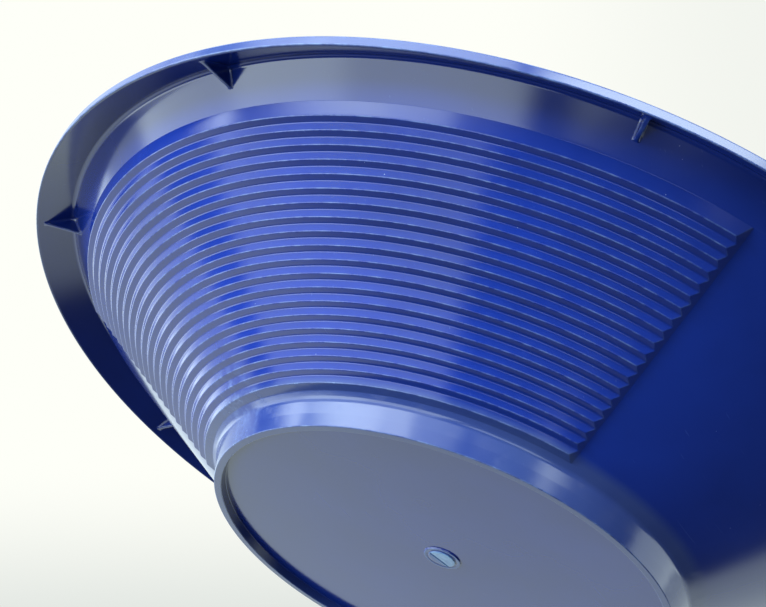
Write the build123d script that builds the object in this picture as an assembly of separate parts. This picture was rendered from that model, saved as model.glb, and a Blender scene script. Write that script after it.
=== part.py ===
from build123d import *
import math
import os

# Round prospecting pan, moulded in one shot from plastic.  Millimetres, +Z up, origin at the centre of
# the foot ring on the surface that the pan stands on, riffles centred on -Y.  Each region of the
# moulding is a solid of its own, and neighbours meet face to face.

# ---- driving dimensions -------------------------------------------------------------------------------
PAN_RADIUS = 177.8                # outermost edge of the rim, half of 14 inches
WALL_THICKNESS = 2.4              # measured square to the wall

FLOOR_RECESS = 3.0                # underside of the floor above the foot
FLOOR_THICKNESS = 2.4
FOOT_INNER_RADIUS = 78.0          # flat annulus that the pan stands on
FOOT_OUTER_RADIUS = 80.64
RECESS_RADIUS = 77.6              # inner face of the foot where it meets the floor, slightly drafted
FOOT_BAND = (82.3, 3.9)           # where the steep lower band of the foot's side turns
FOOT_CORNER = (83.2, 8.4)         # where the foot's side meets the sloping wall

WALL_TOP = (155.8, 59.9)          # top of the long straight wall, outside surface
RIM_SLOPE = 44.0                  # steeper band above it, degrees from the horizontal
RIM_APEX = (166.16, 69.93)        # where that band would meet the underside of the lip
LIP_SLOPE = 36.9                  # fall of the lip, degrees from the horizontal
RIM_INNER_BEND = 1.6              # bend radius under the rim
LIP_INNER_EDGE = (176.6, 62.1)
LIP_BOTTOM_EDGE = (177.5, 61.75)
LIP_TOP_EDGE = (PAN_RADIUS, 64.9)

RIFFLE_COUNT = 20
RIFFLE_RUN = 3.487                # step outwards from one riffle to the next
RIFFLE_RISE = 2.451               # step upwards from one riffle to the next
FIRST_CREST = (88.64, 10.35)
RISER_RUN = 1.0                   # draft of each riser
RISER_RISE = 2.14
TREAD_START_RADIUS = 85.4         # where the first tread leaves the wall
RIFFLE_HALF_SPAN = 58.8           # degrees each side of -Y

GUSSET_COUNT = 8
GUSSET_THICKNESS = 1.5
GUSSET_TIP_RADIUS = 161.2         # low corner on the wall
GUSSET_LIP_RADIUS = 175.2         # low corner on the lip

GATE_PLACE = (1.7, -1.0)          # middle of the boss, a little off the pan's axis
GATE_RADIUS = 6.7                 # low round boss on the floor's underside
GATE_HEIGHT = 0.5
STUB_RADIUS = 4.8                 # trimmed stub on that boss, cut straight on one side
STUB_HEIGHT = 0.35
STUB_CUT = 2.0                    # from the middle of the boss to the straight side
STUB_ANGLE = 75.6                 # direction of the straight side, degrees from +X

# ---- derived values -----------------------------------------------------------------------------------
FLOOR_TOP = FLOOR_RECESS + FLOOR_THICKNESS
WALL_SLOPE = math.atan2(WALL_TOP[1] - FOOT_CORNER[1], WALL_TOP[0] - FOOT_CORNER[0])
THROUGH_WALL = (-WALL_THICKNESS * math.sin(WALL_SLOPE), WALL_THICKNESS * math.cos(WALL_SLOPE))
RIFFLE_AZIMUTH = -90.0


def shifted(point, step):
    """The (radius, height) point moved by a (radius, height) step."""
    return (point[0] + step[0], point[1] + step[1])


def inside(point):
    """The point of the pan's inner surface that faces an outside point of the wall."""
    return shifted(point, THROUGH_WALL)


def on_wall(radius):
    """The outside surface of the straight wall at a radius."""
    return (radius, FOOT_CORNER[1] + (radius - FOOT_CORNER[0]) * math.tan(WALL_SLOPE))


TREAD_START = on_wall(TREAD_START_RADIUS)
INNER_FLOOR_EDGE = (
    inside(FOOT_CORNER)[0] - (inside(FOOT_CORNER)[1] - FLOOR_TOP) / math.tan(WALL_SLOPE),
    FLOOR_TOP,
)


def riffle_outline(number):
    """Outside of one stair: start of the tread, crest, and top of the riser."""
    step = ((number - 1) * RIFFLE_RUN, (number - 1) * RIFFLE_RISE)
    crest = shifted(FIRST_CREST, step)
    riser_top = shifted(crest, (RISER_RUN, RISER_RISE))
    tread_start = shifted(riser_top, (-RIFFLE_RUN, -RIFFLE_RISE))
    if number == 1:
        tread_start = TREAD_START
    if number == RIFFLE_COUNT:
        riser_top = WALL_TOP
    return tread_start, crest, riser_top


# ---- rim section: a bend of constant thickness between the steep band and the lip ---------------------
BAND_NORMAL = (math.sin(math.radians(RIM_SLOPE)), -math.cos(math.radians(RIM_SLOPE)))
LIP_NORMAL = (-math.sin(math.radians(LIP_SLOPE)), -math.cos(math.radians(LIP_SLOPE)))
HALF_BEND = math.radians((RIM_SLOPE + LIP_SLOPE) / 2)
BEND_CENTRE = shifted(
    RIM_APEX,
    (
        RIM_INNER_BEND / math.cos(HALF_BEND) * math.sin(math.radians((RIM_SLOPE - LIP_SLOPE) / 2)),
        -RIM_INNER_BEND / math.cos(HALF_BEND) * math.cos(math.radians((RIM_SLOPE - LIP_SLOPE) / 2)),
    ),
)


def from_bend(normal, distance):
    """The point at a distance from the bend's centre, square to the band or to the lip."""
    return (BEND_CENTRE[0] - normal[0] * distance, BEND_CENTRE[1] - normal[1] * distance)


RIM_OUTER_BEND = RIM_INNER_BEND + WALL_THICKNESS
BAND_TOP = from_bend(BAND_NORMAL, RIM_INNER_BEND)
BAND_TOP_INSIDE = from_bend(BAND_NORMAL, RIM_OUTER_BEND)
LIP_ROOT = from_bend(LIP_NORMAL, RIM_INNER_BEND)
LIP_ROOT_TOP = from_bend(LIP_NORMAL, RIM_OUTER_BEND)
BEND_UNDERSIDE = (BEND_CENTRE[0], BEND_CENTRE[1] + RIM_INNER_BEND)
BEND_CROWN = (BEND_CENTRE[0], BEND_CENTRE[1] + RIM_OUTER_BEND)


# ---- solids of revolution -----------------------------------------------------------------------------
def closed_outline(*points):
    """Straight-sided outline of a section, as edges in the (radius, height) plane."""
    return Polyline(*points, close=True)


def turned(outline, sweep=360.0, middle=0.0):
    """Solid swept by a section about the pan's axis, through an angle centred on an azimuth."""
    section = make_face(Plane.XZ * outline)
    return Rot(0, 0, middle - sweep / 2) * revolve(section, Axis.Z, revolution_arc=sweep)


def floor_disc():
    return turned(
        closed_outline((0, FLOOR_RECESS), (RECESS_RADIUS, FLOOR_RECESS), INNER_FLOOR_EDGE, (0, FLOOR_TOP))
    )


def gate_boss():
    boss_bottom = FLOOR_RECESS - GATE_HEIGHT
    boss = Pos(0, 0, FLOOR_RECESS - GATE_HEIGHT / 2) * Cylinder(GATE_RADIUS, GATE_HEIGHT)
    stub = Pos(0, 0, boss_bottom - STUB_HEIGHT / 2) * Cylinder(STUB_RADIUS, STUB_HEIGHT)
    waste = Box(2 * STUB_RADIUS, 2 * STUB_RADIUS, 2 * STUB_HEIGHT)
    waste = Rot(0, 0, STUB_ANGLE - 90) * Pos(-STUB_CUT - STUB_RADIUS, 0, boss_bottom - STUB_HEIGHT / 2) * waste
    return Pos(*GATE_PLACE, 0) * (boss + (stub - waste))


def foot_ring():
    return turned(
        closed_outline(
            (RECESS_RADIUS, FLOOR_RECESS),
            (FOOT_INNER_RADIUS, 0),
            (FOOT_OUTER_RADIUS, 0),
            FOOT_BAND,
            FOOT_CORNER,
            TREAD_START,
            inside(TREAD_START),
            INNER_FLOOR_EDGE,
        )
    )


def plain_wall():
    outline = closed_outline(TREAD_START, WALL_TOP, inside(WALL_TOP), inside(TREAD_START))
    return turned(outline, 360 - 2 * RIFFLE_HALF_SPAN, RIFFLE_AZIMUTH + 180)


def riffle(number):
    tread_start, crest, riser_top = riffle_outline(number)
    outline = closed_outline(
        tread_start, crest, riser_top, inside(riser_top), inside(crest), inside(tread_start)
    )
    return turned(outline, 2 * RIFFLE_HALF_SPAN, RIFFLE_AZIMUTH)


def upper_band():
    return turned(closed_outline(WALL_TOP, BAND_TOP, BAND_TOP_INSIDE, inside(WALL_TOP)))


def rim_crown():
    outline = Curve() + [
        ThreePointArc(BAND_TOP, BEND_UNDERSIDE, LIP_ROOT),
        Line(LIP_ROOT, LIP_ROOT_TOP),
        ThreePointArc(LIP_ROOT_TOP, BEND_CROWN, BAND_TOP_INSIDE),
        Line(BAND_TOP_INSIDE, BAND_TOP),
    ]
    return turned(outline)


def rim_lip():
    return turned(
        closed_outline(LIP_ROOT, LIP_INNER_EDGE, LIP_BOTTOM_EDGE, LIP_TOP_EDGE, LIP_ROOT_TOP)
    )


def along(start, end, radius):
    """The point at a radius on the straight line from start to end."""
    share = (radius - start[0]) / (end[0] - start[0])
    return (radius, start[1] + share * (end[1] - start[1]))


def rim_gusset(number):
    """Thin web that fills the channel under the rim, from the wall to the lip."""
    tip = along(WALL_TOP, BAND_TOP, GUSSET_TIP_RADIUS)
    lip_end = along(LIP_ROOT, LIP_INNER_EDGE, GUSSET_LIP_RADIUS)
    outline = Curve() + [
        Line(tip, BAND_TOP),
        ThreePointArc(BAND_TOP, BEND_UNDERSIDE, LIP_ROOT),
        Line(LIP_ROOT, lip_end),
        Line(lip_end, tip),
    ]
    sweep = math.degrees(GUSSET_THICKNESS / RIM_APEX[0])
    return turned(outline, sweep, RIFFLE_AZIMUTH + (number - 1) * 360 / GUSSET_COUNT)


# ---- write one file per region of the moulding --------------------------------------------------------
solids = {
    "floor_disc": floor_disc(),
    "gate_boss": gate_boss(),
    "foot_ring": foot_ring(),
    "plain_wall": plain_wall(),
    "upper_band": upper_band(),
    "rim_crown": rim_crown(),
    "rim_lip": rim_lip(),
}
for number in range(1, RIFFLE_COUNT + 1):
    solids[f"riffle_{number:02d}"] = riffle(number)
for number in range(1, GUSSET_COUNT + 1):
    solids[f"rim_gusset_{number}"] = rim_gusset(number)

os.makedirs("parts", exist_ok=True)
for name, solid in solids.items():
    export_step(solid, f"parts/{name}.step")
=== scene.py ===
import bpy
import math
import numpy as np
from mathutils import Matrix, Vector


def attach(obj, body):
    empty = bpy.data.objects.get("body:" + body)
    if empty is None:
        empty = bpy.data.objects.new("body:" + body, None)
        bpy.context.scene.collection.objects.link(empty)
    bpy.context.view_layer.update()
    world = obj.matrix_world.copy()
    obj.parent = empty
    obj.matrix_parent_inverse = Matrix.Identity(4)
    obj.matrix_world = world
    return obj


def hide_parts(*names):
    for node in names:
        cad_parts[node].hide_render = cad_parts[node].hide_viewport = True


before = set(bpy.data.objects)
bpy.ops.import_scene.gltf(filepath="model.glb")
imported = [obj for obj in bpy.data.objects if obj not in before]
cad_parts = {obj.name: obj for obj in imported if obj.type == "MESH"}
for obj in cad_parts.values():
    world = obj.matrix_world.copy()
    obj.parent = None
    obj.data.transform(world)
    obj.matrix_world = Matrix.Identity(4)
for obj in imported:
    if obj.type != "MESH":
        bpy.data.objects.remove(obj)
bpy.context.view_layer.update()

# Round prospecting pan, one plastic moulding.  Metres, +Z up, riffles centred on -Y.  Every region of the
# moulding is a closed piece that stands for the CAD node of the same region.

# ---- camera -------------------------------------------------------------------------------------------
CAMERA_PLACE = (0.3308, -0.3701, -0.2200)
CAMERA_AIM = (-0.03506, -0.03871, 0.08563)
CAMERA_ROLL = 24.09               # degrees
LENS = 75.53
SENSOR = 36.0

# ---- the pan's section, as (radius, height) -----------------------------------------------------------
WALL_THICKNESS = 0.0024
FLOOR_BOTTOM = 0.0030
FLOOR_TOP = 0.0054
FLOOR_EDGE_BELOW = 0.0768         # where the floor piece ends, underside and top
FLOOR_EDGE_ABOVE = 0.0735
RECESS_CORNER = (0.0776, FLOOR_BOTTOM)
FOOT_INNER = (0.0780, 0.0)
FOOT_OUTER = (0.08068, 0.0)
FOOT_BAND = (0.08190, 0.0039)
FOOT_CORNER = (0.0832, 0.0084)
WALL_TOP = (0.1558, 0.0599)
RIM_APEX = (0.16616, 0.06993)
RIM_SLOPE = math.radians(44.0)
LIP_SLOPE = math.radians(36.9)
RIM_INNER_BEND = 0.0016
LIP_INNER_EDGE = (0.1766, 0.0621)
LIP_BOTTOM_EDGE = (0.1775, 0.06175)
LIP_TOP_EDGE = (0.1778, 0.0649)
BAND_BLEND = 0.030                # large radius between the wall and the steeper band
FLOOR_BLEND = 0.0025

# ---- riffles ------------------------------------------------------------------------------------------
RIFFLE_COUNT = 20
RIFFLE_STEP = (0.003487, 0.002451)
FIRST_CREST = (0.08864, 0.01035)
RISER = (0.0011, 0.00210)
TREAD_START_RADIUS = 0.0854
RIFFLE_CREST = 0.00055            # rounding of crests
RIFFLE_VALLEY = 0.0007            # rounding of valleys
RIFFLE_MIDDLE = math.radians(-90.0)
END_HALF_ANGLE = math.radians(59.45)
END_SLOPE = 0.53                  # height over distance from the end line
END_SOFTNESS = 0.00012            # rounding where the end faces meet the riffles and the wall
END_LEAST_REACH = 0.00065         # width kept for an end face where the riffles have no height
END_COLUMNS = (0.0003, 0.00015, 0.0, -0.00015, -0.0003)  # distances round each edge of an end face
EVEN_HALF_ANGLE = 54              # degrees each side of the middle that have evenly spaced columns
OUTER_COLUMNS = (60.2, 61.0, 62.0)  # degrees, the last only for the normals
PLAIN_HALF_ANGLE = math.radians(61.0)

# ---- gussets under the rim ----------------------------------------------------------------------------
GUSSET_COUNT = 8
GUSSET_THICKNESS = 0.0015
GUSSET_TIP_THICKNESS = 0.0011
GUSSET_TIP_RADIUS = 0.1612
GUSSET_LIP_RADIUS = 0.1752
GUSSET_FILLET = 0.0009
GUSSET_ROOT = 0.0003              # how far it is sunk into the wall
GUSSET_EDGE = 0.00025             # rounding of the free edge
NEAR_ROOT = (0, 0.0003, 0.00038, 0.0005, 0.0007, 0.00095, 0.0012)  # rows from the root towards the edge
NEAR_EDGE = (0.00055, 0.00038, 0.00022, 0.0001, 0.00003)  # rows before the free edge

# ---- gate boss under the middle of the floor ----------------------------------------------------------
BOSS_PLACE = (0.0017, -0.0010)    # its middle, a little off the pan's axis
BOSS_RADIUS = 0.0067
BOSS_HEIGHT = 0.0005
BOSS_FLANK = 0.00045              # width of its sloping flank
BOSS_SINK = 0.00002               # its edge dips this far into the floor
BOSS_BACK = FLOOR_BOTTOM + 0.0003  # and its piece ends inside the floor
STUB_RADIUS = 0.0048
STUB_HEIGHT = 0.00035
STUB_RIM = 0.0005                 # width of the stub's rounded rim
STUB_ANGLE = math.radians(75.6)   # direction of its straight side
STUB_SIDE = -0.0020               # distance of the straight side from the middle
STUB_RIDGE_WIDTH = 0.00035
STUB_GROOVE = 0.0008              # from the ridge on the straight side to the groove behind it
GROOVE_SHARE = 0.8                # depth of the groove as a share of the stub's height
HOLLOW_DEPTH = 0.00012            # shallow hollow round the stub, its place and its width
HOLLOW_PLACE = STUB_RADIUS + 0.0003
HOLLOW_WIDTH = 0.00035

# ---- meshing ------------------------------------------------------------------------------------------
COLUMN = math.radians(1.0)
ARC_STEP = math.radians(11.0)
EDGE_BEND = 2200.0                # outward bend, per metre, that counts as an edge


def rounded(*corners):
    """Open outline through (x, y, rounding) corners, each rounded corner as an arc."""
    points = []
    for i, (x, y, rounding) in enumerate(corners):
        here = Vector((x, y))
        if rounding == 0:
            points.append(here)
            continue
        before = (Vector(corners[i - 1][:2]) - here).normalized()
        after = (Vector(corners[i + 1][:2]) - here).normalized()
        half = before.angle(after) / 2
        centre = here + (before + after).normalized() * (rounding / math.sin(half))
        arm = here + before * (rounding / math.tan(half)) - centre
        turn = math.pi - 2 * half
        if before.cross(after) > 0:
            turn = -turn
        steps = max(2, math.ceil(abs(turn) / ARC_STEP))
        for k in range(steps + 1):
            points.append(centre + Matrix.Rotation(turn * k / steps, 2) @ arm)
    return np.array([tuple(p) for p in points])


# ---- the wall, as height over a straight or blended base line ------------------------------------------
WALL_RUN = Vector(WALL_TOP) - Vector(FOOT_CORNER)
WALL_LENGTH = WALL_RUN.length
WALL_SLOPE = math.atan2(WALL_RUN.y, WALL_RUN.x)
BLEND_TURN = RIM_SLOPE - WALL_SLOPE
BLEND_REACH = BAND_BLEND * math.tan(BLEND_TURN / 2)
BLEND_LENGTH = BAND_BLEND * BLEND_TURN
BLEND_START = WALL_LENGTH - BLEND_REACH
BAND_LENGTH = (Vector(RIM_APEX) - Vector(WALL_TOP)).length
HALF_BEND = (RIM_SLOPE + LIP_SLOPE) / 2
BAND_TOP_PLACE = WALL_LENGTH + BAND_LENGTH - RIM_INNER_BEND * math.tan(HALF_BEND)


def wall_frame(place):
    """Outside point and outward normal of the wall, at a distance up it from the foot corner."""
    place = np.asarray(place, float)
    into = np.clip(place - (WALL_LENGTH - BLEND_REACH), 0, BLEND_LENGTH)
    slope = WALL_SLOPE + into / BAND_BLEND
    straight = np.minimum(place, WALL_LENGTH - BLEND_REACH)
    beyond = np.maximum(place - (WALL_LENGTH - BLEND_REACH) - BLEND_LENGTH, 0)
    x = FOOT_CORNER[0] + straight * math.cos(WALL_SLOPE) + beyond * math.cos(RIM_SLOPE)
    y = FOOT_CORNER[1] + straight * math.sin(WALL_SLOPE) + beyond * math.sin(RIM_SLOPE)
    x = x + BAND_BLEND * (np.sin(slope) - math.sin(WALL_SLOPE))
    y = y + BAND_BLEND * (math.cos(WALL_SLOPE) - np.cos(slope))
    return np.stack([x, y], -1), np.stack([np.sin(slope), -np.cos(slope)], -1)


def wall_outside(place):
    return wall_frame(place)[0]


def wall_inside(place):
    points, normals = wall_frame(place)
    return points - WALL_THICKNESS * normals


def on_wall(point):
    """(place, height) of a (radius, height) point over the straight wall."""
    away = Vector(point) - Vector(FOOT_CORNER)
    along = WALL_RUN.normalized()
    return away.dot(along), away.x * along.y - away.y * along.x


def riffle_corner(number, riser_share):
    """Crest (share 0) or valley (share 1) of a riffle, as (place, height) over the wall."""
    return on_wall((
        FIRST_CREST[0] + (number - 1) * RIFFLE_STEP[0] + riser_share * RISER[0],
        FIRST_CREST[1] + (number - 1) * RIFFLE_STEP[1] + riser_share * RISER[1],
    ))


FOOT_BORDER = 0.0024              # places up the wall where one piece ends and the next begins
BAND_BORDER = WALL_LENGTH + 0.0021
LAST_TOP = WALL_LENGTH + 0.0014   # where the last riser meets the band
TREAD_BORDER = 0.0006             # from a valley along the next tread to the border between two riffles
TREAD_START = ((TREAD_START_RADIUS - FOOT_CORNER[0]) / math.cos(WALL_SLOPE), 0.0)


def on_blend(place):
    """(place, height) over the straight wall of a point of the blend between the wall and the band."""
    turn = (place - BLEND_START) / BAND_BLEND
    return BLEND_START + BAND_BLEND * math.sin(turn), -BAND_BLEND * (1 - math.cos(turn))


def riffle_outline():
    """Outline of all the riffles over the straight wall, and the index where each one's piece begins."""
    corners = [(0.0012, 0.0, 0), (FOOT_BORDER, 0.0, 0), (*TREAD_START, RIFFLE_VALLEY)]
    for number in range(1, RIFFLE_COUNT + 1):
        corners.append((*riffle_corner(number, 0), RIFFLE_CREST))
        if number < RIFFLE_COUNT:
            valley = Vector(riffle_corner(number, 1))
            crest = Vector(riffle_corner(number + 1, 0))
            border = valley + (crest - valley).normalized() * TREAD_BORDER
            corners.append((*valley, RIFFLE_VALLEY))
            corners.append((*border, 0))
    corners.append((*on_blend(LAST_TOP), RIFFLE_VALLEY / 2))
    corners.append((*on_blend(BAND_BORDER), 0))
    corners.append((*on_blend(BAND_BORDER + 0.0003), 0))
    points = rounded(*corners)
    borders = []
    for x, y, rounding in corners[1:-1]:
        if rounding == 0:
            borders.append(int(np.argmin(np.hypot(points[:, 0] - x, points[:, 1] - y))))
    return points, borders


def least(a, b, softness):
    """The lesser of two heights, with a small round where they cross."""
    blend = np.maximum(softness - np.abs(a - b), 0) / softness
    return np.minimum(a, b) - blend * blend * softness / 4


def riffle_skin(points, offset):
    """The riffled wall, offset through its thickness, with columns that follow the end faces' edges."""
    # past the straight wall, the place and height are taken over the blend instead
    place, height = points[:, 0], points[:, 1]
    past = np.maximum(place - BLEND_START, 0)
    arm = BAND_BLEND + height
    place = np.minimum(place, BLEND_START) + BAND_BLEND * np.arctan2(past, arm)
    height = np.maximum(np.hypot(past, arm) - BAND_BLEND, 0)
    base, normal = wall_frame(place)
    radius = base[:, 0]
    reach = np.maximum(height / END_SLOPE, END_LEAST_REACH)
    even_end = math.radians(EVEN_HALF_ANGLE)
    half_columns = [np.full(len(place), math.radians(step)) for step in range(EVEN_HALF_ANGLE + 1)]
    crease = END_HALF_ANGLE - (reach + END_COLUMNS[0]) / radius
    for share in (0.3, 0.55, 0.75, 0.9):
        half_columns.append(even_end + (crease - even_end) * share)
    for step in END_COLUMNS:
        half_columns.append(END_HALF_ANGLE - (reach + step) / radius)
    half_columns.append(END_HALF_ANGLE - reach / 2 / radius)
    for step in END_COLUMNS:
        half_columns.append(END_HALF_ANGLE - step / radius)
    for angle in OUTER_COLUMNS:
        half_columns.append(np.full(len(place), math.radians(angle)))
    half = np.stack(half_columns, 1)
    angle = np.concatenate([-half[:, :0:-1], half], 1)
    distance = (END_HALF_ANGLE - np.abs(angle)) * radius[:, None]
    face = -least(-distance * END_SLOPE, np.zeros_like(distance), END_SOFTNESS)
    lift = least(np.broadcast_to(height[:, None], face.shape), face, END_SOFTNESS)
    lift = np.where(height[:, None] > 1e-7, lift, 0.0) - offset
    r, z = (base[:, [i]] + lift * normal[:, [i]] for i in (0, 1))
    azimuth = RIFFLE_MIDDLE + angle
    return np.stack([r * np.cos(azimuth), r * np.sin(azimuth), z], -1)


# ---- meshes -------------------------------------------------------------------------------------------
def turned(outline, azimuths):
    """Grid of an outline turned about the pan's axis."""
    radius = outline[:, 0][:, None]
    height = np.broadcast_to(outline[:, 1][:, None], (len(outline), len(azimuths)))
    return np.stack([radius * np.cos(azimuths), radius * np.sin(azimuths), height], -1)


def grid_normals(grid, closed):
    """Normals of a grid's points, each face counting by its area so that flat stretches stay flat."""
    if closed:
        grid = np.concatenate([grid[:, -1:], grid, grid[:, :1]], 1)
    across = np.cross(grid[1:, 1:] - grid[:-1, :-1], grid[1:, :-1] - grid[:-1, 1:])
    total = np.zeros_like(grid)
    for i in (0, 1):
        for j in (0, 1):
            total[i:len(grid) - 1 + i, j:grid.shape[1] - 1 + j] += across
    total /= np.maximum(np.linalg.norm(total, axis=-1, keepdims=True), 1e-20)
    return total[:, 1:-1] if closed else total


def flat_normal(points):
    a = points[2] - points[0]
    b = points[3 % len(points)] - points[1]
    normal = np.cross(a, b)
    return normal / max(np.linalg.norm(normal), 1e-20)


def edge_share(strip, normals):
    """How sharply the surface bends outwards from row to row, from 0 for flat to 1 for an edge."""
    step = strip[2:] - strip[:-2]
    turn = ((normals[2:] - normals[:-2]) * step).sum(-1)
    return np.clip(turn / np.maximum((step ** 2).sum(-1), 1e-12) / EDGE_BEND, 0, 1)


def make_piece(name, strips, closed, centre_fans=False):
    """Closed mesh from strips of a section's loop.  Each strip carries one extra row at both ends, and
    one extra column at both sides if it isn't a full turn, which only serve its normals."""
    grids, normals, edges = [], [], []
    for strip in strips:
        strip_normals = grid_normals(strip, closed)
        rows = slice(1, -1)
        columns = slice(None) if closed else slice(1, -1)
        grids.append(strip[rows, columns])
        normals.append(strip_normals[rows, columns])
        edge = edge_share(strip, strip_normals)[:, columns]
        if not closed:
            across = edge_share(strip.transpose(1, 0, 2), strip_normals.transpose(1, 0, 2)).T
            edge = np.maximum(edge, across[rows])
        edges.append(edge.ravel())
    width = grids[0].shape[1]
    points = np.concatenate([g.reshape(-1, 3) for g in grids])
    point_normals = np.concatenate([n.reshape(-1, 3) for n in normals])
    total = sum(len(g) for g in grids)
    ends = set(np.cumsum([len(g) for g in grids]) - 1)
    faces, corner_normals = [], []
    count = width if closed else width - 1
    for row in range(total):
        following = (row + 1) % total
        cap = row in ends
        if cap and centre_fans and row == total - 1:
            continue
        for column in range(count):
            beside = (column + 1) % width
            corners = (
                row * width + column,
                row * width + beside,
                following * width + beside,
                following * width + column,
            )
            faces.append(corners)
            if cap:
                corner_normals.extend([flat_normal(points[list(corners)])] * 4)
            else:
                corner_normals.extend(point_normals[list(corners)])
    if centre_fans:
        for row, up in ((0, -1.0), (total - 1, 1.0)):
            points = np.concatenate([points, [[0, 0, points[row * width][2]]]])
            for column in range(width):
                ring = (row * width + column, row * width + (column + 1) % width)
                faces.append((len(points) - 1, *(ring if up > 0 else ring[::-1])))
                corner_normals.extend([np.array([0, 0, up])] * 3)
        edges.append(np.zeros(2))
    if not closed:
        for column in (0, width - 1):
            for row in range(total // 2 - 1):
                opposite = total - 1 - row
                corners = [row, row + 1, opposite - 1, opposite]
                corners = [c * width + column for c in corners]
                if column:
                    corners.reverse()
                faces.append(tuple(corners))
                corner_normals.extend([flat_normal(points[corners])] * 4)
    mesh = bpy.data.meshes.new(name)
    mesh.from_pydata(points.tolist(), [], faces)
    mesh.shade_smooth()
    mesh.attributes.new("edge", "FLOAT", "POINT").data.foreach_set("value", np.concatenate(edges))
    mesh.normals_split_custom_set([tuple(n) for n in corner_normals])
    piece = bpy.data.objects.new(name, mesh)
    bpy.context.scene.collection.objects.link(piece)
    return piece


def add_piece(name, node, strips, closed=True, centre_fans=False, centre=(0.0, 0.0)):
    piece = make_piece(name, strips, closed, centre_fans)
    piece.data.transform(Matrix.Translation((*centre, 0)))
    piece.data.materials.append(plastic)
    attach(piece, "root")
    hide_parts(node)
    return piece


# ---- material -----------------------------------------------------------------------------------------
class Nodes:
    """Short calls for the math nodes of one tree."""

    def __init__(self, tree):
        self.tree = tree

    def new(self, kind, *values, **settings):
        node = self.tree.nodes.new("ShaderNode" + kind)
        for name, value in settings.items():
            setattr(node, name, value)
        for socket, value in enumerate(values):
            if isinstance(value, bpy.types.NodeSocket):
                self.tree.links.new(value, node.inputs[socket])
            elif value is not None:
                node.inputs[socket].default_value = value
        return node

    def math(self, operation, *values):
        return self.new("Math", *values, operation=operation).outputs[0]

    def dot(self, vector, axis):
        return self.new("VectorMath", vector, tuple(axis), operation="DOT_PRODUCT").outputs["Value"]

    def rise(self, value, start, end):
        """0 below start, 1 above end, smooth between."""
        node = self.new("MapRange", value, interpolation_type="SMOOTHSTEP")
        node.inputs["From Min"].default_value = start
        node.inputs["From Max"].default_value = end
        return node.outputs[0]

    def between(self, value, low, high, softness):
        up = self.rise(value, low - softness, low + softness)
        down = self.rise(value, high - softness, high + softness)
        return self.math("SUBTRACT", up, down)

    def ramp(self, value, start, end):
        """Straight ramp from 0 at start to 1 at end."""
        node = self.new("MapRange", value)
        node.inputs["From Min"].default_value = start
        node.inputs["From Max"].default_value = end
        return node.outputs[0]

    def noise(self, vector, scale, detail=2.0, roughness=0.5):
        node = self.new("TexNoise", vector)
        node.inputs["Scale"].default_value = scale
        node.inputs["Detail"].default_value = detail
        node.inputs["Roughness"].default_value = roughness
        return node.outputs[0]

    def total(self, *terms):
        """Sum of (value, weight) terms."""
        result = 0.0
        for value, weight in terms:
            result = self.math("MULTIPLY_ADD", value, weight, result)
        return result

    def blend(self, share, first, second):
        node = self.tree.nodes.new("ShaderNodeMix")
        node.data_type = "RGBA"
        for socket, value in ((0, share), (6, first), (7, second)):
            if isinstance(value, bpy.types.NodeSocket):
                self.tree.links.new(value, node.inputs[socket])
            else:
                node.inputs[socket].default_value = value
        return node.outputs[2]


SCRATCHES = (
    # turn in degrees, level of the noise above which a scratch shows
    ((20, 35, 10), 0.755),
    ((70, -15, 55), 0.79),
    ((-40, 60, 100), 0.77),
)
SCRATCH_STRETCH = (1500.0, 24.0, 700.0)
SPECKS_PER_METRE = 210.0
SPECK_SHARE = 0.82                # share of the cells that hold no speck
FLOW_MARK = (-0.0320, -0.0820, 0.0090)  # pale smear beside the lowest riffle
FLOW_MARK_REACH = 0.016
FOOT_RUB_AND_SHEEN = (0.0125, 0.0105)    # heights between which the foot's rubbing and its painted sheen set in
RIM_RUB_AND_SHEEN = (0.1764, 0.1770)     # radii between which the rim's rubbing and its painted sheen set in

DEEP_PIGMENT = (0.0028, 0.0105, 0.100, 1)
PALE_PIGMENT = (0.0036, 0.0135, 0.128, 1)
RUB_AND_SHEEN_COLOUR = (0.034, 0.050, 0.105, 1)
# paler tint for rubbing, which also paints the sheen that the foot's side and the rim's lip show
WORN_COLOUR = (0.085, 0.13, 0.26, 1)
SCRATCH_COLOUR = (0.06, 0.10, 0.28, 1)
SMEAR_COLOUR = (0.14, 0.21, 0.42, 1)
SPECK_COLOUR = (0.22, 0.28, 0.42, 1)
BOSS_COLOUR = (0.040, 0.110, 0.260, 1)
STUB_COLOUR = (0.110, 0.210, 0.370, 1)


def make_scratches(make, place, cloud):
    """Fine straight scratches in three directions, in patches."""
    scratch = 0.0
    for turn, level in SCRATCHES:
        stretched = make.new("Mapping", place)
        stretched.inputs["Rotation"].default_value = [math.radians(t) for t in turn]
        stretched.inputs["Scale"].default_value = SCRATCH_STRETCH
        streak = make.noise(stretched.outputs[0], 1.0, 1.0)
        scratch = make.math("MAXIMUM", scratch, make.ramp(streak, level, level + 0.05))
    return make.math("MULTIPLY", scratch, make.ramp(cloud, 0.42, 0.58))


def make_specks(make, place):
    """Scattered dust specks of several sizes."""
    cells = make.new("TexVoronoi", place)
    cells.inputs["Scale"].default_value = SPECKS_PER_METRE
    picked = make.new("SeparateColor", cells.outputs["Color"]).outputs[0]
    reach = make.total((picked, 0.05), (0.02, -1.0))
    speck = make.math("LESS_THAN", cells.outputs["Distance"], reach)
    return make.math("MULTIPLY", speck, make.math("GREATER_THAN", picked, SPECK_SHARE))


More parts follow.
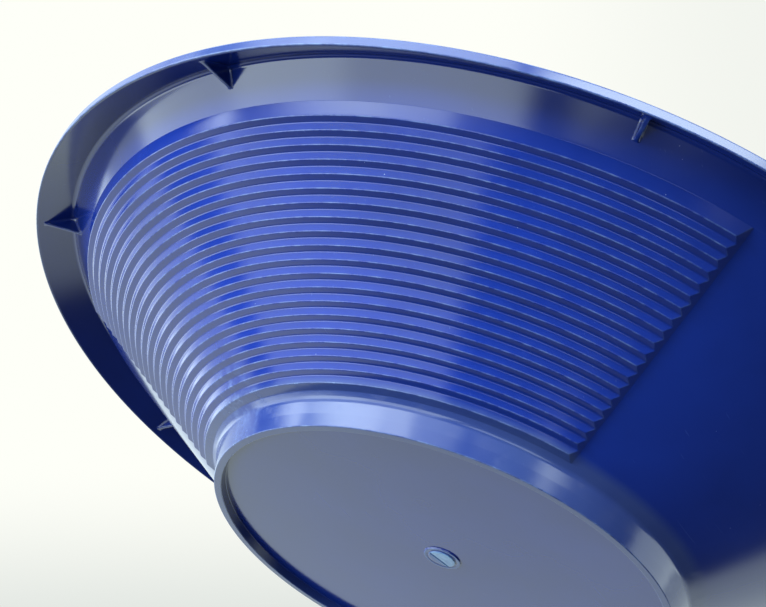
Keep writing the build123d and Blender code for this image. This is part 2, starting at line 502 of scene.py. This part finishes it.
def make_plastic():
    """Glossy blue plastic with cloudy pigment, scratches, specks, worn edges, and a foot and rim made paler
    both by rubbing and by painted sheen.
    """
    material = bpy.data.materials.new("moulded_blue_plastic")
    material.use_nodes = True
    make = Nodes(material.node_tree)
    links = material.node_tree.links
    shader = material.node_tree.nodes["Principled BSDF"]
    place = make.new("TexCoord").outputs["Object"]
    x, y, z = make.new("SeparateXYZ", place).outputs
    radius = make.total((make.math("MULTIPLY", x, x), 1.0), (make.math("MULTIPLY", y, y), 1.0))
    radius = make.math("SQRT", radius)
    edge = make.new("Attribute", attribute_name="edge").outputs["Fac"]

    cloud = make.noise(place, 26.0, 3.0)
    mottle = make.noise(place, 240.0, 4.0, 0.65)
    grain = make.noise(place, 2600.0, 2.0)
    wave = make.noise(place, 48.0, 1.0)
    scratch = make_scratches(make, place, cloud)
    speck = make_specks(make, place)

    # the foot's side, where it is rubbed and where its sheen is painted
    foot = make.math("MULTIPLY", make.ramp(z, *FOOT_RUB_AND_SHEEN), make.ramp(radius, 0.0770, 0.0785))
    away = make.new("VectorMath", place, FLOW_MARK, operation="DISTANCE").outputs["Value"]
    smear = make.math("MULTIPLY", make.ramp(away, FLOW_MARK_REACH, 0.0), make.ramp(mottle, 0.47, 0.66))
    blotch = make.ramp(make.noise(place, 120.0, 3.0, 0.6), 0.56, 0.66)
    blotch = make.math("MULTIPLY", foot, blotch)
    worn = make.math("MULTIPLY", edge, make.ramp(mottle, 0.40, 0.66))
    # painted sheen as well as rubbing: the foot's side and the rim's lip are tinted paler to stand for the
    # sheen they catch
    rub_and_sheen = make.math("MAXIMUM", foot, make.ramp(radius, *RIM_RUB_AND_SHEEN))
    rub_and_sheen = make.math("MULTIPLY", rub_and_sheen, make.ramp(cloud, 0.1, 0.7))

    boss_middle = (*BOSS_PLACE, FLOOR_BOTTOM)
    boss_face = FLOOR_BOTTOM - BOSS_HEIGHT
    near_boss = make.new("VectorMath", place, boss_middle, operation="DISTANCE").outputs["Value"]
    near_boss = make.ramp(near_boss, BOSS_RADIUS + 0.0001, BOSS_RADIUS - 0.0001)
    boss = make.math("MULTIPLY", make.ramp(z, boss_face + 0.00012, boss_face), near_boss)
    stub = make.math("MULTIPLY", make.ramp(z, boss_face - 0.00004, boss_face - 0.00028), near_boss)
    stub = make.math("MULTIPLY", stub, make.ramp(mottle, 0.1, 0.7))

    colour = make.blend(make.ramp(cloud, 0.3, 0.7), DEEP_PIGMENT, PALE_PIGMENT)
    for mask, share, tint in (
        (rub_and_sheen, 0.6, RUB_AND_SHEEN_COLOUR),
        (worn, 0.45, WORN_COLOUR),
        (scratch, 0.18, SCRATCH_COLOUR),
        (smear, 0.22, SMEAR_COLOUR),
        (speck, 0.4, SPECK_COLOUR),
        (boss, 0.35, BOSS_COLOUR),
        (stub, 1.0, STUB_COLOUR),
    ):
        colour = make.blend(make.math("MULTIPLY", mask, share), colour, tint)
    links.new(colour, shader.inputs["Base Color"])

    roughness = make.total(
        (0.095, 1.0),
        (cloud, 0.05),
        (mottle, 0.04),
        (scratch, 0.12),
        (worn, 0.10),
        (smear, 0.15),
        (speck, 0.3),
        (blotch, 0.10),
    )
    links.new(roughness, shader.inputs["Roughness"])
    shader.inputs["IOR"].default_value = 1.5

    # relief in metres
    height = make.total(
        (wave, 0.000022),
        (make.math("MULTIPLY", foot, make.noise(place, 150.0, 2.0)), 0.000016),
        (mottle, 0.0000022),
        (grain, 0.0000005),
        (scratch, -0.0000010),
        (blotch, 0.0000020),
        (speck, 0.0000030),
    )
    bump = make.new("Bump")
    bump.inputs["Strength"].default_value = 1.0
    bump.inputs["Distance"].default_value = 1.0
    links.new(height, bump.inputs["Height"])
    links.new(bump.outputs[0], shader.inputs["Normal"])
    return material


plastic = make_plastic()

# ---- pieces -------------------------------------------------------------------------------------------
full_turn = np.arange(0, 2 * math.pi - COLUMN / 2, COLUMN)


def floor_outline(edge, height):
    """Flat face of the floor from near its middle to its edge."""
    radii = (0.0008, 0.0016, 0.020, 0.040, 0.060, edge, edge + 0.0001)
    return np.array([(radius, height) for radius in radii])


floor_below = floor_outline(FLOOR_EDGE_BELOW, FLOOR_BOTTOM)
floor_above = floor_outline(FLOOR_EDGE_ABOVE, FLOOR_TOP)[::-1]
add_piece(
    "pan_floor", "floor_disc", [turned(floor_below, full_turn), turned(floor_above, full_turn)],
    centre_fans=True,
)

border_out = wall_outside([FOOT_BORDER, FOOT_BORDER + 0.0001])
border_in = wall_inside([FOOT_BORDER + 0.0001, FOOT_BORDER])
inner_wall = wall_inside([0.0])[0]
floor_corner = (inner_wall[0] - (inner_wall[1] - FLOOR_TOP) / math.tan(WALL_SLOPE), FLOOR_TOP)
foot_below = rounded(
    (FLOOR_EDGE_BELOW - 0.001, FLOOR_BOTTOM, 0),
    (FLOOR_EDGE_BELOW, FLOOR_BOTTOM, 0),
    (*RECESS_CORNER, 0.0002),
    (*FOOT_INNER, 0.00035),
    (*FOOT_OUTER, 0.0004),
    (*FOOT_BAND, 0.0003),
    (*FOOT_CORNER, 0.0030),
    (*border_out[0], 0),
    (*border_out[1], 0),
)
foot_above = rounded(
    (*border_in[0], 0),
    (*border_in[1], 0),
    (*floor_corner, FLOOR_BLEND),
    (FLOOR_EDGE_ABOVE, FLOOR_TOP, 0),
    (FLOOR_EDGE_ABOVE - 0.001, FLOOR_TOP, 0),
)
add_piece("pan_foot", "foot_ring", [turned(foot_below, full_turn), turned(foot_above, full_turn)])

plain_places = np.concatenate([
    [FOOT_BORDER - 0.0005, FOOT_BORDER],
    np.linspace(FOOT_BORDER, WALL_LENGTH - BLEND_REACH, 10)[1:],
    np.linspace(WALL_LENGTH - BLEND_REACH, BAND_BORDER, 9)[1:],
    [BAND_BORDER + 0.0006],
])
plain_turn = np.arange(
    RIFFLE_MIDDLE + PLAIN_HALF_ANGLE - COLUMN,
    RIFFLE_MIDDLE + 2 * math.pi - PLAIN_HALF_ANGLE + 1.5 * COLUMN,
    COLUMN,
)
add_piece(
    "pan_wall", "plain_wall",
    [
        turned(wall_outside(plain_places), plain_turn),
        turned(wall_inside(plain_places[::-1]), plain_turn),
    ],
    closed=False,
)

riffle_points, riffle_borders = riffle_outline()
outside_skin = riffle_skin(riffle_points, 0.0)
inside_skin = riffle_skin(riffle_points, WALL_THICKNESS)
for number in range(1, RIFFLE_COUNT + 1):
    rows = slice(riffle_borders[number - 1] - 1, riffle_borders[number] + 2)
    add_piece(
        f"pan_riffle_{number:02d}", f"riffle_{number:02d}",
        [outside_skin[rows], inside_skin[rows][::-1]],
        closed=False,
    )

band_places = np.concatenate([
    [BAND_BORDER - 0.0006],
    np.linspace(BAND_BORDER, WALL_LENGTH + BLEND_REACH, 3),
    [WALL_LENGTH + BLEND_REACH + 0.004, BAND_TOP_PLACE, BAND_TOP_PLACE + 0.0001],
])
add_piece(
    "pan_upper_band", "upper_band",
    [
        turned(wall_outside(band_places), full_turn),
        turned(wall_inside(band_places[::-1]), full_turn),
    ],
)

RIM_EXTRA = 0.0002                # to the rows beyond each end of an outline, which only serve its normals
lip_fall = Vector((math.cos(LIP_SLOPE), -math.sin(LIP_SLOPE)))
lip_up = Vector((math.sin(LIP_SLOPE), math.cos(LIP_SLOPE)))
apex_tilt = (LIP_SLOPE - RIM_SLOPE) / 2
apex_up = Vector((math.sin(apex_tilt), math.cos(apex_tilt)))
apex_above = Vector(RIM_APEX) + apex_up * (WALL_THICKNESS / math.cos(HALF_BEND))
RIM_OUTER_BEND = RIM_INNER_BEND + WALL_THICKNESS
lip_root = Vector(RIM_APEX) + lip_fall * (RIM_INNER_BEND * math.tan(HALF_BEND))
lip_root_above = lip_root + lip_up * WALL_THICKNESS
band_top = Vector(wall_outside(BAND_TOP_PLACE))
band_top_above = Vector(wall_inside(BAND_TOP_PLACE))
band_rise = (Vector(RIM_APEX) - band_top).normalized()
crown_below = rounded(
    (*(band_top - band_rise * RIM_EXTRA), 0),
    (*RIM_APEX, RIM_INNER_BEND),
    (*(lip_root + lip_fall * RIM_EXTRA), 0),
)
crown_above = rounded(
    (*(lip_root_above + lip_fall * RIM_EXTRA), 0),
    (*apex_above, RIM_OUTER_BEND),
    (*(band_top_above - band_rise * RIM_EXTRA), 0),
)
add_piece("pan_rim_crown", "rim_crown", [turned(crown_below, full_turn), turned(crown_above, full_turn)])

lip_outline = rounded(
    (*(lip_root - lip_fall * RIM_EXTRA), 0),
    (*lip_root, 0),
    (*LIP_INNER_EDGE, 0.0003),
    (*LIP_BOTTOM_EDGE, 0.0004),
    (*LIP_TOP_EDGE, 0.0008),
    (*lip_root_above, 0),
    (*(lip_root_above - lip_fall * RIM_EXTRA), 0),
)
add_piece("pan_rim_lip", "rim_lip", [turned(lip_outline, full_turn)])


def smooth(share):
    share = np.clip(share, 0, 1)
    return share * share * (3 - 2 * share)


def boss_underside(radii):
    """Underside of the gate boss: sloping flank, flat, and the trimmed stub with its groove."""
    radius, azimuth = np.meshgrid(radii, full_turn, indexing="ij")
    x, y = radius * np.cos(azimuth), radius * np.sin(azimuth)
    across = x * math.sin(STUB_ANGLE) - y * math.cos(STUB_ANGLE) - STUB_SIDE
    flank = smooth((BOSS_RADIUS - radius) / BOSS_FLANK)
    rim = np.sqrt(1 - (1 - (STUB_RADIUS - radius) / STUB_RIM).clip(0, 1) ** 2)
    side = smooth(across / STUB_RIDGE_WIDTH + 0.5)
    groove = np.exp(-((across - STUB_GROOVE) / STUB_RIDGE_WIDTH) ** 2)
    stub = rim * side * (1 - GROOVE_SHARE * groove) * (0.85 + 20.0 * across.clip(0))
    hollow = HOLLOW_DEPTH * np.exp(-((radius - HOLLOW_PLACE) / HOLLOW_WIDTH) ** 2)
    height = flank * BOSS_HEIGHT + STUB_HEIGHT * stub - hollow - BOSS_SINK
    return np.stack([x, y, FLOOR_BOTTOM - height], -1)


boss_radii = np.concatenate([
    [0.0001], np.arange(0.0002, STUB_RADIUS - STUB_RIM, 0.00015),
    STUB_RADIUS - STUB_RIM * (1 - np.sin(np.linspace(0, math.pi / 2, 7)[1:])),
    np.linspace(STUB_RADIUS + 0.0001, BOSS_RADIUS - BOSS_FLANK, 10),
    np.linspace(BOSS_RADIUS - BOSS_FLANK, BOSS_RADIUS, 8)[1:],
    [BOSS_RADIUS + 0.0001],
])
boss_above = np.array([(radius, BOSS_BACK) for radius in (BOSS_RADIUS + 0.0001, BOSS_RADIUS, 0.0002, 0.0001)])
add_piece(
    "pan_gate_boss", "gate_boss", [boss_underside(boss_radii), turned(boss_above, full_turn)],
    centre_fans=True, centre=BOSS_PLACE,
)


def resampled(points, count):
    """Points at even distances along a polyline."""
    steps = np.concatenate([[0], np.cumsum(np.linalg.norm(np.diff(points, axis=0), axis=1))])
    places = np.linspace(0, steps[-1], count)
    return np.stack([np.interp(places, steps, points[:, i]) for i in (0, 1)], -1)


def widened(grid):
    """The grid with one more row and column on every side, carried on in a straight line."""
    grid = np.concatenate([2 * grid[:1] - grid[1:2], grid, 2 * grid[-1:] - grid[-2:-1]])
    return np.concatenate([2 * grid[:, :1] - grid[:, 1:2], grid, 2 * grid[:, -1:] - grid[:, -2:-1]], 1)


def gusset_grid(azimuth):
    """Loops round the blade's thickness, from its tip on the band to its end on the lip."""
    apex = np.array(RIM_APEX)
    tip = apex + (GUSSET_TIP_RADIUS - apex[0]) * np.array([1, math.tan(RIM_SLOPE)])
    end = apex + (GUSSET_LIP_RADIUS - apex[0]) * np.array([1, -math.tan(LIP_SLOPE)])
    root = resampled(rounded((*tip, 0), (*apex, RIM_INNER_BEND), (*end, 0)), 30)
    dense = resampled(root, 400)
    travel = np.gradient(root, axis=0)
    travel /= np.linalg.norm(travel, axis=1, keepdims=True)
    into = np.stack([-travel[:, 1], travel[:, 0]], -1)
    sunk = root + GUSSET_ROOT * into
    share = np.linspace(0, 1, len(root))[:, None]
    free_start = tip + into[0] * 0.0001
    free_end = end + into[-1] * 0.0001
    free = free_start + share * (free_end - free_start)
    chord = (end - tip) / np.linalg.norm(end - tip)
    span = np.linalg.norm(free - sunk, axis=1)[:, None]
    near_root, near_edge = np.array(NEAR_ROOT), np.array(NEAR_EDGE)
    squeeze = np.minimum(1, span / (near_root[-1] + near_edge[0] + 0.0002))
    middle = np.array([0.33, 0.67])
    start, stop = near_root[-1] * squeeze, span - near_edge[0] * squeeze
    depth = np.concatenate(
        [near_root * squeeze, start + (stop - start) * middle, span - near_edge * squeeze], 1
    )
    points = sunk[:, None] + (free - sunk)[:, None] * (depth / span)[..., None]
    root_gap = np.linalg.norm(points[:, :, None] - dense[None, None], axis=-1).min(-1)
    root_gap = np.where(depth < GUSSET_ROOT, 0, root_gap)
    flare = GUSSET_FILLET - np.sqrt(GUSSET_FILLET ** 2 - (GUSSET_FILLET - root_gap).clip(0) ** 2)
    from_tip = points - tip
    edge_gap = np.abs(from_tip[..., 0] * chord[1] - from_tip[..., 1] * chord[0])
    edge_gap = np.minimum(edge_gap, np.abs(span - depth))
    rounding = np.sqrt(1 - (1 - (edge_gap / GUSSET_EDGE).clip(0.02, 1)) ** 2)
    along = ((points[..., 0] - tip[0]) / (end[0] - tip[0])).clip(0, 1)
    half = (GUSSET_TIP_THICKNESS + along * (GUSSET_THICKNESS - GUSSET_TIP_THICKNESS)) / 2
    half = (half + flare) * rounding
    points = np.concatenate([points, points[:, ::-1]], 1).transpose(1, 0, 2)
    half = np.concatenate([half, -half[:, ::-1]], 1).T
    x = points[..., 0] * math.cos(azimuth) - half * math.sin(azimuth)
    y = points[..., 0] * math.sin(azimuth) + half * math.cos(azimuth)
    return widened(np.stack([x, y, points[..., 1]], -1))


for number in range(1, GUSSET_COUNT + 1):
    azimuth = RIFFLE_MIDDLE + (number - 1) * 2 * math.pi / GUSSET_COUNT
    add_piece(f"pan_rim_gusset_{number}", f"rim_gusset_{number}", [gusset_grid(azimuth)], closed=False)


# ---- floor and backdrop -------------------------------------------------------------------------------
STAGE_SIZE = 6.0
STAGE_HEIGHT = -0.0002            # just under the foot
STAGE_COLOUR = (0.42, 0.425, 0.415, 1)


def make_stage():
    """Pale floor, seen only from above and only by the camera, so that it leaves the pan's light alone."""
    mesh = bpy.data.meshes.new("studio_floor")
    half = STAGE_SIZE / 2
    corners = [(-half, -half), (half, -half), (half, half), (-half, half)]
    mesh.from_pydata([(x, y, STAGE_HEIGHT) for x, y in corners], [], [(0, 1, 2, 3)])
    floor = bpy.data.objects.new("studio_floor", mesh)
    bpy.context.scene.collection.objects.link(floor)
    material = bpy.data.materials.new("studio_floor")
    material.use_nodes = True
    nodes, links = material.node_tree.nodes, material.node_tree.links
    shader = nodes["Principled BSDF"]
    shader.inputs["Base Color"].default_value = STAGE_COLOUR
    shader.inputs["Roughness"].default_value = 0.6
    side = nodes.new("ShaderNodeNewGeometry")
    clear = nodes.new("ShaderNodeBsdfTransparent")
    mix = nodes.new("ShaderNodeMixShader")
    links.new(side.outputs["Backfacing"], mix.inputs[0])
    links.new(shader.outputs[0], mix.inputs[1])
    links.new(clear.outputs[0], mix.inputs[2])
    links.new(mix.outputs[0], nodes["Material Output"].inputs["Surface"])
    mesh.materials.append(material)
    floor.visible_diffuse = False
    floor.visible_glossy = False
    floor.visible_transmission = False
    floor.visible_shadow = False


# The studio's panels lie round the camera's own right, up and back directions at the photograph's
# angle, in degrees: azimuth 0 is straight ahead, 90 to the right, and elevation is above the horizon.
PANELS = (
    # azimuth from, to, elevation from, to, softness, radiance
    (-150, -85, 28, 50, 2.5, 5.0),    # large softbox on the left
    (-175, -85, 29, 62, 3, 2.5),      # the glow round it
    (-88, -56, 22, 40, 3, 7.0),       # its front part, lower
    (-132, -103, 30, 48, 4, 2.0),     # its hot middle
    (-175, -65, 50, 64, 4, 4.0),      # its upper edge
    (-180, -55, 64, 88, 4, 6.0),      # ceiling above it
    (-155, -72, -25, 4, 1.5, 4.2),    # low softbox on the left
    (-122, -98, -25, 4, 3, 1.8),      # its hot middle
    (-158, -83, 5, 24, 3, 1.9),       # the joint between them
    (-56, -34, -18, 1, 1.5, 2.0),     # left of the backdrop
    (-52, -28, 20, 60, 5, 1.8),       # above that
    (-188, -163, -15, 1, 3, 3.0),     # strip behind the camera, seen in the crests
    (163, 188, -18, -2, 3, 3.0),      # and its other half
    (112, 174, 36, 66, 5, 13.0),      # high softbox on the right, seen in the rim
    (118, 150, 10, 30, 3, 4.8),       # softbox on the right, beside the camera
    (150, 178, 26, 40, 4, 1.0),       # its back part, higher
    (104, 118, 5, 24, 3, 0.8),        # its front edge
    (72, 104, -36, -10, 3, 2.6),      # low reflector on the right
    (-30, 100, 35, 90, 12, 2.5),      # overhead light above the pan's inside
    (-90, -30, -75, -38, 8, 0.3),     # brighter left part of the table
)
TABLE_NEAR = 16                   # degrees ahead of straight down where the white sweep begins
TABLE_TOP = 115                   # and where it ends
TABLE_HALF_WIDTH = 75             # degrees each side of straight ahead
TABLE_RADIANCE = 1.2
AMBIENT = 0.07
KEY_STRENGTH = 8.8
KEY_SPREAD = 20.0                 # degrees
KEY_AZIMUTH = -104.0              # degrees round the pan, from +X
KEY_HEIGHT = -2.0                 # degrees above the horizon
LIGHT_TINT = (0.85, 1.0, 1.0)
BACKDROP = (0.991, 1.0, 0.939)
BACKDROP_LOW = (0.73, 0.77, 0.74)
LOW_SHADE = (5.5, 12.5)           # degrees below straight ahead where the backdrop gets darker
RIGHT_SHADE = (3, 14)             # degrees to the right where it gets a little darker


def make_world(right, up, back):
    """Studio round the camera's axes.  The camera itself sees a plain backdrop instead of the panels."""
    world = bpy.data.worlds.new("studio")
    bpy.context.scene.world = world
    world.use_nodes = True
    make = Nodes(world.node_tree)
    nodes, links = world.node_tree.nodes, world.node_tree.links
    direction = make.new("TexCoord").outputs["Generated"]
    x, y, z = (make.dot(direction, axis) for axis in (right, up, back))
    ahead = make.math("MULTIPLY", z, -1.0)
    down = make.math("MULTIPLY", y, -1.0)
    azimuth = make.math("DEGREES", make.math("ARCTAN2", x, ahead))
    elevation = make.math("DEGREES", make.math("ARCSINE", y))
    pitch = make.math("DEGREES", make.math("ARCTAN2", ahead, down))
    total = AMBIENT
    for left, far, low, high, softness, radiance in PANELS:
        mask = make.math(
            "MULTIPLY",
            make.between(azimuth, left, far, softness),
            make.between(elevation, low, high, softness),
        )
        total = make.math("MULTIPLY_ADD", mask, radiance, total)
    sweep = make.math(
        "MULTIPLY",
        make.between(pitch, TABLE_NEAR, TABLE_TOP, 4),
        make.between(azimuth, -TABLE_HALF_WIDTH, TABLE_HALF_WIDTH, 8),
    )
    total = make.math("MULTIPLY_ADD", sweep, TABLE_RADIANCE, total)
    light = nodes["Background"]
    light.inputs["Color"].default_value = (*LIGHT_TINT, 1)
    links.new(total, light.inputs["Strength"])
    shade = make.math(
        "MAXIMUM",
        make.rise(make.math("MULTIPLY", elevation, -1.0), *LOW_SHADE),
        make.math("MULTIPLY", make.rise(azimuth, *RIGHT_SHADE), 0.4),
    )
    backdrop = nodes.new("ShaderNodeBackground")
    links.new(make.blend(shade, (*BACKDROP, 1), (*BACKDROP_LOW, 1)), backdrop.inputs["Color"])
    seen = nodes.new("ShaderNodeLightPath").outputs["Is Camera Ray"]
    mix = make.new("MixShader", seen, light.outputs[0], backdrop.outputs[0])
    links.new(mix.outputs[0], nodes["World Output"].inputs["Surface"])


def make_camera():
    """The camera at the photograph's angle.  Returns its right, up and back directions."""
    data = bpy.data.cameras.new("camera")
    data.lens = LENS
    data.sensor_width = SENSOR
    data.clip_start = 0.01
    data.clip_end = 20
    camera = bpy.data.objects.new("camera", data)
    bpy.context.scene.collection.objects.link(camera)
    camera.location = CAMERA_PLACE
    look = (Vector(CAMERA_AIM) - Vector(CAMERA_PLACE)).to_track_quat("-Z", "Y")
    camera.rotation_mode = "QUATERNION"
    camera.rotation_quaternion = look @ Matrix.Rotation(math.radians(CAMERA_ROLL), 3, "Z").to_quaternion()
    bpy.context.scene.camera = camera
    return [camera.rotation_quaternion @ Vector(axis) for axis in ((1, 0, 0), (0, 1, 0), (0, 0, 1))]


def make_key():
    """Soft key light from beyond the riffles, level with the pan; too far off to show in the gloss."""
    data = bpy.data.lights.new("key", "SUN")
    data.energy = KEY_STRENGTH
    data.angle = math.radians(KEY_SPREAD)
    data.color = LIGHT_TINT
    key = bpy.data.objects.new("key", data)
    bpy.context.scene.collection.objects.link(key)
    azimuth, height = math.radians(KEY_AZIMUTH), math.radians(KEY_HEIGHT)
    toward = Vector((
        math.cos(azimuth) * math.cos(height), math.sin(azimuth) * math.cos(height), math.sin(height)
    ))
    key.rotation_mode = "QUATERNION"
    key.rotation_quaternion = toward.to_track_quat("Z", "Y")
    key.visible_glossy = False


make_stage()
make_world(*make_camera())
make_key()
bpy.context.scene.view_settings.view_transform = "Standard"
